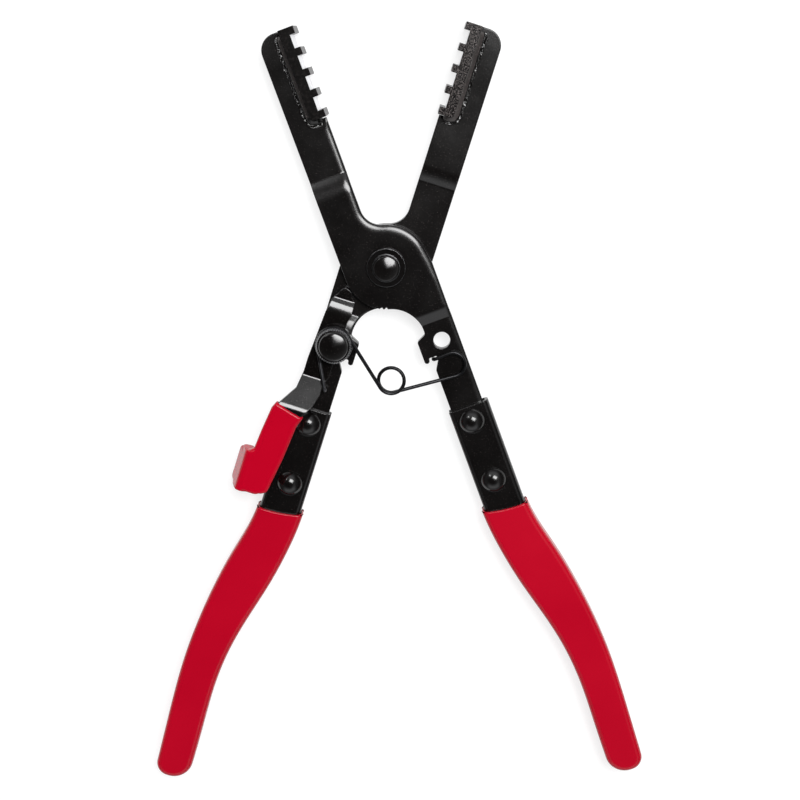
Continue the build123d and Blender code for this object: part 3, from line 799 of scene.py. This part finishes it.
def weld_bead(side, up, ripple):
    """Bead along the back of a toothed block and round its foot: a smooth ridge, a groove, a lumpy toe."""
    rings = []
    low = BLOCK_FOOT + BLOCK_CORNER
    run = BEAD_TOP - low
    bend = math.pi / 2 * BLOCK_CORNER
    total = run + bend + BEAD_END
    steps = int(total / BEAD_STEP)
    for count in range(steps + 1):
        reach = total * count / steps
        if reach < run:
            place, way = (-BLOCK_BACK, BEAD_TOP - reach), (-1, 0)
        elif reach < run + bend:
            angle = (reach - run) / BLOCK_CORNER
            way = (-math.cos(angle), -math.sin(angle))
            place = (BLOCK_CORNER - BLOCK_BACK + way[0] * BLOCK_CORNER, low + way[1] * BLOCK_CORNER)
        else:
            place, way = (BLOCK_CORNER - BLOCK_BACK + reach - run - bend, BLOCK_FOOT), (0, -1)
        fade = math.sqrt(min(1, (min(reach, total - reach) + BEAD_LEAST) / BEAD_FADE))
        ring = []
        for row, (out, height) in enumerate(BEAD_PROFILE):
            share, pace = RIDGE_RIPPLE if row <= BEAD_SLOPE else TOE_RIPPLE
            seed = Vector((reach * pace, row * ROW_PACE + side * SIDE_SEED, up * FACE_SEED))
            height += share * ripple * RISE_RIPPLE * noise.noise(seed) if height > 0 else 0
            sway = share * ripple * noise.noise(seed + OUT_SEED) if out > 0 else 0
            out = out * (1 - BEAD_NARROW + BEAD_NARROW * fade) + sway
            height = height * fade if height > 0 else height
            ring.append(arm_place(side, place[0] + way[0] * out, place[1] + way[1] * out,
                                  up * (HALF_PLATE + height)))
        rings.append(ring)
    shape = tube(rings)
    shape.faces.ensure_lookup_table()
    # Ridge faces all along the right bead, and up the run of the left one, take the lighter paint: a
    # painted reflection on the slope
    pale = int((run if side > 0 else total) / BEAD_STEP) * len(BEAD_PROFILE)
    for index in range(steps * len(BEAD_PROFILE)):
        ridge = index % len(BEAD_PROFILE) < BEAD_SLOPE
        shape.faces[index].material_index = 0 if ridge and index < pale else 1
    return shape


class PLIERS_OT_arms(bpy.types.Operator):
    """Make the stamped arms: their edges rolled, widely beside the hub, finely at the ratchet teeth"""
    bl_idname = "pliers.arms"
    bl_label = "Arms"

    def execute(self, context):
        sizes = context.scene.pliers
        smooth = black_paint(sizes, "front_arm_paint")
        grainy = black_paint(sizes, "rear_arm_paint", grain=0.45, relief=0.016, lift=1.3)

        def rim(least, wide):
            deep = least * DEPTH_SHARE
            return least + (sizes.hub_roll - least) * wide, deep + (sizes.hub_drop - deep) * wide

        def front_rim(across, along):
            near = smooth_step(across, *HUB_LEFT) * (1 - smooth_step(along, *HUB_TOP))
            hub = smooth_step(along, *HUB_LOW)
            tang = TANG_SHARE * smooth_step(across, *TANG_SIDE)
            wide = near * max(hub, tang) * (1 - JAW_LOSS * smooth_step(along, *JAW_RUN))
            teeth = smooth_step(-across, *TEETH_SIDE) * (1 - smooth_step(along, *TEETH_TOP))
            teeth *= 1 - smooth_step(abs(along + TEETH_MIDDLE), *TEETH_SPAN)
            return rim(sizes.edge_roll * (1 - TEETH_LOSS * teeth), wide)

        def rear_rim(across, along):
            neck = 1 - smooth_step(abs(along + NECK_MIDDLE), *NECK_SPAN)
            return rim(sizes.edge_roll, NECK_SHARE * neck * (1 - smooth_step(across, *NECK_SIDE)))

        piece(stamped(merged("front_arm"), 1, FRONT_FOLDS, front_rim), "stamped_front_arm", [smooth], FRONT,
              "black_paint", "front_arm")
        piece(stamped(merged("rear_arm"), -1, REAR_FOLDS, rear_rim), "stamped_rear_arm", [grainy], REAR,
              "black_paint", "rear_arm")
        return {"FINISHED"}


class PLIERS_OT_blocks(bpy.types.Operator):
    """Make the toothed blocks: rough painted skin, ground gap floors"""
    bl_idname = "pliers.blocks"
    bl_label = "Toothed blocks"

    def execute(self, context):
        sizes = context.scene.pliers
        # The fourth number is how much of a block's skin carries painted glints
        paints = {FRONT: cast_paint(sizes, "left_block_paint", 900, 0.03, 0.01),
                  REAR: cast_paint(sizes, "right_block_paint", 2600, 0.8, 0.06)}
        side_paint = cast_paint(sizes, "block_edge_paint", 1200, 0.1, 0.01, 1.06)
        ground = metal("ground_steel", (0.82, 0.82, 0.84), 0.34)
        for name, body, side in (("left_jaw_rack", FRONT, 1), ("right_jaw_rack", REAR, -1)):
            shape = merged(name)
            for face in shape.faces:
                across = own_place(side, face.calc_center_median())[0]
                if abs(face.normal.z) < UPRIGHT:
                    face.material_index = 1 if abs(across + FLOOR) < PLACE_TOLERANCE else 2
            piece(shape, "toothed_" + name, [paints[body], ground, side_paint], body, "dark_steel", name,
                  roll=lambda edge: sizes.block_roll, segments=2)
        return {"FINISHED"}


class PLIERS_OT_welds(bpy.types.Operator):
    """Make the weld beads behind the toothed blocks"""
    bl_idname = "pliers.welds"
    bl_label = "Weld beads"

    def execute(self, context):
        sizes = context.scene.pliers
        # The ridge's paint is twelve times lighter than the black: a painted reflection of the pale
        # surroundings on its slope
        slope = black_paint(sizes, "weld_painted_sheen", grain=0.2, rough=0.3, lift=12)
        toe = black_paint(sizes, "weld_toe_paint", grain=0.5, rough=0.14, lift=1.5)
        for label, side, body in (("left", 1, FRONT), ("right", -1, REAR)):
            for end, up in (("front", 1), ("back", -1)):
                shape = weld_bead(side, up, sizes.weld_ripple / MM)
                name = f"{label}_{end}_weld"
                piece(shape, name + "_bead", [slope, toe], body, "dark_steel", name)
        return {"FINISHED"}


class PLIERS_OT_handles(bpy.types.Operator):
    """Make the folded handles and their vinyl grips"""
    bl_idname = "pliers.handles"
    bl_label = "Handles and grips"

    def execute(self, context):
        sizes = context.scene.pliers
        paint = black_paint(sizes, "sheet_paint")
        vinyl = red_vinyl(sizes)
        for label, body in (("left", REAR), ("right", FRONT)):
            piece(merged(label + "_channel"), label + "_folded_sheet", [paint], body, "black_paint",
                  label + "_channel", roll=lambda edge: sizes.edge_roll * SHEET_ROLL)
            piece(merged(label + "_grip"), label + "_vinyl_grip", [vinyl], body, "red_vinyl",
                  label + "_grip", roll=lambda edge: sizes.vinyl_roll)
        return {"FINISHED"}


class PLIERS_OT_rivets(bpy.types.Operator):
    """Make the rivets, the pivot and the washers"""
    bl_idname = "pliers.rivets"
    bl_label = "Rivets and pivot"

    def execute(self, context):
        sizes = context.scene.pliers
        glossy = black_paint(sizes, "rivet_paint", grain=0.15, rough=0.17)
        # Lighter steel on the rolled rims of the pivot, the post and the pivot washer: a painted highlight
        # where those rims catch the light
        edge_highlight = metal("painted_highlight_edge", (0.09, 0.09, 0.092), 0.3)
        fine = sizes.edge_roll * TURNED_ROLL
        for label, body in (("left", REAR), ("right", FRONT)):
            for end in ("upper", "lower"):
                name = f"{label}_{end}_rivet"
                piece(merged(name), name + "_head", [glossy], body, "dark_steel", name,
                      roll=lambda edge: fine)
        post = arm_place(-1, *POST_PLACE, 0)
        for name, centre, (tail, stem, head) in (("pivot_rivet", pivot, PIVOT_PROFILE),
                                                 ("lever_post", post, POST_PROFILE)):
            turned = black_paint(sizes, name + "_paint", grain=0.3, rough=0.13, relief=0.006, centre=centre)
            points = [(out, -height) for out, height in reversed(dome(*tail))] + stem + dome(*head)
            piece(lathe(points, centre), name + "_turned", [turned, edge_highlight], REAR, "dark_steel", name,
                  roll=lambda edge: fine, edge_highlight=1)
        piece(merged("pivot_washer"), "pivot_washer_ring", [glossy, edge_highlight], REAR, "dark_steel",
              "pivot_washer", roll=lambda edge: sizes.edge_roll * RING_ROLL, edge_highlight=1)
        low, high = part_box("post_washer")
        centre = Vector(((low[0] + high[0]) / 2, (low[1] + high[1]) / 2, low[2]))
        outer, thick = (high[0] - low[0]) / 2 / MM, (high[2] - low[2]) / MM
        profile = [(POST_BORE, 0), (outer, 0), (outer, thick * WASHER_WALL),
                   (outer - WASHER_CHAMFER, thick), (POST_BORE, thick)]
        teeth = sizes.washer_teeth
        shape = lathe(profile, centre, teeth * TOOTH_STEPS, teeth, (1, 2, 3))
        # The sloping serrated faces get lighter steel: the washer's bare steel, made lighter still as a
        # painted highlight on its teeth
        for face in shape.faces:
            face.material_index = int(UPRIGHT < face.normal.z < 1 - UPRIGHT)
        serrations = metal("serration_steel_and_painted_highlight", (0.17, 0.17, 0.175), 0.25)
        piece(shape, "serrated_washer", [glossy, serrations], REAR, "dark_steel", "post_washer",
              roll=lambda edge: sizes.edge_roll * SERRATION_ROLL)
        return {"FINISHED"}


class PLIERS_OT_lever(bpy.types.Operator):
    """Make the ratchet lever and its dipped thumb end"""
    bl_idname = "pliers.lever"
    bl_label = "Ratchet lever"

    def execute(self, context):
        sizes = context.scene.pliers
        paint = black_paint(sizes, "lever_paint", grain=0.6, rough=0.125, relief=0.014)
        vinyl = red_vinyl(sizes, "lever_vinyl", 1.05, 0.2)
        rim = [sizes.edge_roll * share for share in LEVER_ROLL]
        shape = lever_part(LEVER_CUT, -1)
        piece(stamped(shape, -1, LEVER_FOLDS, lambda across, along: rim), "stamped_lever", [paint], LEVER,
              "black_paint", "ratchet_lever")
        shape = lever_part(VINYL_FILL, 1)
        filling = bpy.data.meshes.new("filling")
        shape.to_mesh(filling)
        shape.free()
        shape = merged("lever_grip")
        shape.from_mesh(filling)
        bpy.data.meshes.remove(filling)
        shape = one_skin(shape)
        outward = (arm_place(-1, 1, 0, 0) - pivot) / MM
        for vert in shape.verts:
            across, along = own_place(-1, vert.co)
            vert.co -= arm_axis(-1) * VINYL_DRIP * MM * smooth_step(-along, *DRIP_RUN)
            low_corner = smooth_step(-along, *EASE_RUN) * (1 - smooth_step(vert.co.z / MM, *EASE_HEIGHT))
            vert.co += outward * TAB_EASE * MM * low_corner * (1 - smooth_step(across, *EASE_WIDTH))
        for corner, ways, radius in VINYL_CORNERS:
            round_corner(shape, -1, corner, ways, radius)
        made = piece(shape, "dipped_thumb_end", [vinyl], LEVER, "red_vinyl", "lever_grip")
        made.modifiers.remove(made.modifiers["even"])
        melt = made.modifiers.new("melt", "SMOOTH")
        melt.factor = 0.5
        melt.iterations = sizes.vinyl_melt
        return {"FINISHED"}


class PLIERS_OT_spring(bpy.types.Operator):
    """Make the wire spring and, as a piece of its own, its leg on the lever"""
    bl_idname = "pliers.spring"
    bl_label = "Spring"

    def execute(self, context):
        wire = metal("spring_wire", (0.02, 0.02, 0.0212), 0.3)
        start = arm_place(-1, *SPRING_START, 0)
        end = arm_place(1, *SPRING_END, 0)
        leg_start = arm_place(-1, 0, LEG_CUT, 0)
        leg_end = arm_place(-1, 0, LEG_END, 0)
        made = piece(spring_part(False), "wire_spring", [wire], None, "spring_steel", "opening_spring",
                     roll=lambda edge: WIRE_ROLL * edge.smooth)
        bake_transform(made)
        # The leg is a lighter copy of the spring's steel: a painted highlight
        painted_highlight_wire = metal("leg_wire", (0.07, 0.07, 0.075), 0.3)
        made = piece(spring_part(True), "wire_spring_leg", [painted_highlight_wire], None, "spring_steel",
                     "opening_spring", roll=lambda edge: WIRE_ROLL * edge.smooth)
        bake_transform(made)
        return {"FINISHED"}


class PLIERS_OT_stage(bpy.types.Operator):
    """Add the floor, the lamps, the world and the camera"""
    bl_idname = "pliers.stage"
    bl_label = "Stage"

    def execute(self, context):
        scene = context.scene
        sizes = scene.pliers
        shape = bmesh.new()
        bmesh.ops.create_grid(shape, x_segments=1, y_segments=1, size=FLOOR_REACH)
        bmesh.ops.translate(shape, verts=shape.verts, vec=(0, 0, -FLOOR_DROP))
        mesh = bpy.data.meshes.new("floor")
        shape.to_mesh(mesh)
        shape.free()
        floor = bpy.data.objects.new("floor", mesh)
        scene.collection.objects.link(floor)
        material = bpy.data.materials.new("floor")
        tree = Tree(material)
        rays = [tree.node("ShaderNodeLightPath", output=name)
                for name in ("Is Camera Ray", "Is Glossy Ray", "Is Transmission Ray")]
        any_ray = {0: rays[0] + rays[1], 1: rays[2]}
        seen = tree.node("ShaderNodeMath", {"operation": "ADD", "use_clamp": True}, any_ray)
        paper = tree.node("ShaderNodeBsdfDiffuse", None, {"Color": PAPER})
        faint = tree.node("ShaderNodeBsdfDiffuse", None, {"Color": FAINT})
        glow = tree.node("ShaderNodeEmission", None, {"Color": WHITE, "Strength": GLOW})
        white = tree.node("ShaderNodeAddShader", None, {0: faint, 1: glow})
        tree.finish(tree.node("ShaderNodeMixShader", None, {0: seen, 1: paper, 2: white}))
        mesh.materials.append(material)
        world = bpy.data.worlds.new("studio")
        scene.world = world
        tree = Tree(world, "ShaderNodeOutputWorld")
        way = tree.node("ShaderNodeTexCoord", output="Generated")
        height = tree.vector_math("DOT_PRODUCT", way, DARK_AXIS, "Value")
        band = tree.node("ShaderNodeValToRGB", {"stops": BAND}, {0: height})
        side = tree.vector_math("DOT_PRODUCT", way, (1, 0, 0), "Value")
        colour = tree.mix(tree.spread(side.math("ABSOLUTE", side), *DARK_SIDES), band, (0, 0, 0, 1))
        light = tree.node("ShaderNodeBackground", None, {"Color": colour, "Strength": sizes.band})
        plain = tree.node("ShaderNodeBackground", None, {"Color": WHITE, "Strength": 1.0})
        seen = tree.node("ShaderNodeLightPath", output="Is Camera Ray")
        tree.finish(tree.node("ShaderNodeMixShader", None, {0: seen, 1: light, 2: plain}))
        for name, place, wide, high, power in LAMPS:
            lamp = bpy.data.lights.new(name, "AREA")
            lamp.shape = "RECTANGLE"
            lamp.size = wide
            lamp.size_y = high
            lamp.energy = power
            holder = bpy.data.objects.new(name, lamp)
            holder.location = place
            holder.rotation_euler = (-Vector(place)).to_track_quat("-Z", "Y").to_euler()
            scene.collection.objects.link(holder)
        camera = bpy.data.cameras.new("camera")
        camera.sensor_width = SENSOR
        camera.lens = sizes.focal
        camera.clip_end = CLIP_END
        holder = bpy.data.objects.new("camera", camera)
        holder.location = pivot + Vector(CAMERA_PLACE) * MM
        holder.rotation_euler = Euler([math.radians(turn) for turn in CAMERA_TURNS], "XYZ")
        scene.collection.objects.link(holder)
        scene.camera = holder
        scene.view_settings.view_transform = "Standard"
        return {"FINISHED"}


class PLIERS_PT_panel(bpy.types.Panel):
    """Lists the operators and the sizes"""
    bl_idname = "PLIERS_PT_panel"
    bl_label = "Hose clamp pliers"
    bl_space_type = "VIEW_3D"
    bl_region_type = "UI"
    bl_category = "Pliers"

    def draw(self, context):
        sizes = context.scene.pliers
        for name in sizes.bl_rna.properties.keys():
            if name not in ("rna_type", "name"):
                self.layout.prop(sizes, name)
        for operator in OPERATORS:
            self.layout.operator(operator.bl_idname)


OPERATORS = (PLIERS_OT_stage, PLIERS_OT_arms, PLIERS_OT_blocks, PLIERS_OT_welds, PLIERS_OT_handles,
             PLIERS_OT_rivets, PLIERS_OT_lever, PLIERS_OT_spring)
CLASSES = (PliersSizes, *OPERATORS, PLIERS_PT_panel)


def register():
    for kind in CLASSES:
        bpy.utils.register_class(kind)
    bpy.types.Scene.pliers = PointerProperty(type=PliersSizes)


def unregister():
    del bpy.types.Scene.pliers
    for kind in reversed(CLASSES):
        bpy.utils.unregister_class(kind)


def main():
    """Register the add-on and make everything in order."""
    register()
    bpy.ops.pliers.stage()
    bpy.ops.pliers.arms()
    bpy.ops.pliers.blocks()
    bpy.ops.pliers.welds()
    bpy.ops.pliers.handles()
    bpy.ops.pliers.rivets()
    bpy.ops.pliers.lever()
    bpy.ops.pliers.spring()


if __name__ == "__main__":
    main()
